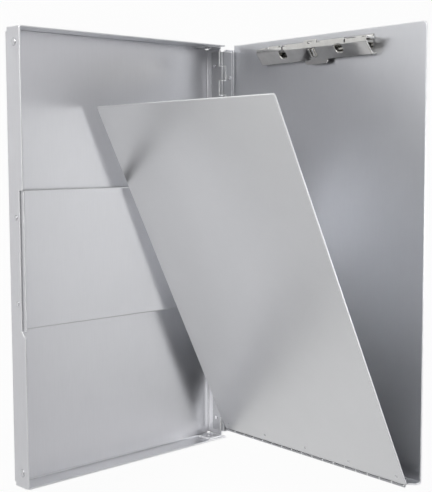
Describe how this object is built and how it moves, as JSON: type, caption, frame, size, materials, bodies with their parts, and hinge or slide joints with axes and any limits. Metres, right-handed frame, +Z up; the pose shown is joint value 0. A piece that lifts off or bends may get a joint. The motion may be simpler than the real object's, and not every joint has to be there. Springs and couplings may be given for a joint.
{
  "type": "storage clipboard box",
  "caption": "Legal size sheet aluminium form box: shallow tray with a retainer strap, hinged cover with a wide sprung clip, and a writing plate on a second piano hinge.",
  "frame": {"origin": "centre of the tray's outer back face, the face the box lies on", "axes": "+X from the fore edge to the spine hinge, +Y towards the clip end, +Z up out of the tray"},
  "size_m": [0.2478, 0.3936, 0.2653],
  "materials": {
    "tray_sheet": "satin sheet, fine rolling grain",
    "cover_sheet": "satin sheet, fine rolling grain",
    "plate_sheet": "fine satin sheet",
    "hinge_leaves": "mill",
    "pins": "drawn wire",
    "rivets": "domed, polished by use",
    "clip_steel": "nickel plated pressing",
    "clip_wire": "plated wire"
  },
  "bodies": {
    "tray": {"tray_shell": "tray_sheet", "tray_corner_rivets": "rivets", "retainer_strap": "tray_sheet", "retainer_rivets": "rivets", "spine_hinge_tray_leaf": "hinge_leaves", "spine_hinge_tray_rivets": "rivets", "spine_hinge_pin": "pins"},
    "cover": {"cover_shell": "cover_sheet", "cover_corner_rivet": "rivets", "spine_hinge_cover_leaf": "hinge_leaves", "spine_hinge_cover_rivets": "rivets", "plate_hinge_cover_leaf": "hinge_leaves", "plate_hinge_cover_rivets": "rivets", "plate_hinge_pin": "pins", "clip_base": "clip_steel", "clip_rivets": "rivets", "clip_rod": "clip_wire"},
    "plate": {"writing_plate": "plate_sheet", "plate_hinge_plate_leaf": "hinge_leaves", "plate_hinge_plate_rivets": "rivets"},
    "jaw": {"clip_jaw": "clip_steel", "clip_spring_spine_side": "clip_wire", "clip_spring_fore_side": "clip_wire"}
  },
  "joints": [
    {"name": "cover_hinge", "type": "hinge", "parent": "tray", "child": "cover", "pos_m": [0.1147, 0, 0.022], "axis": [0, 1, 0], "range_deg": [-2, 87]},
    {"name": "plate_hinge", "type": "hinge", "parent": "cover", "child": "plate", "pos_m": [0.11629, -0.1859, 0.02214], "axis": [-0.0872, 0, 0.9962], "range_deg": [-25, 3]},
    {"name": "clip_jaw_hinge", "type": "hinge", "parent": "cover", "child": "jaw", "pos_m": [0.10823, 0.1855, 0.14189], "axis": [0.0872, 0, -0.9962], "range_deg": [0, 25], "stiffness_Nm_per_rad": 0.25, "springref_deg": -28.65}
  ]
}
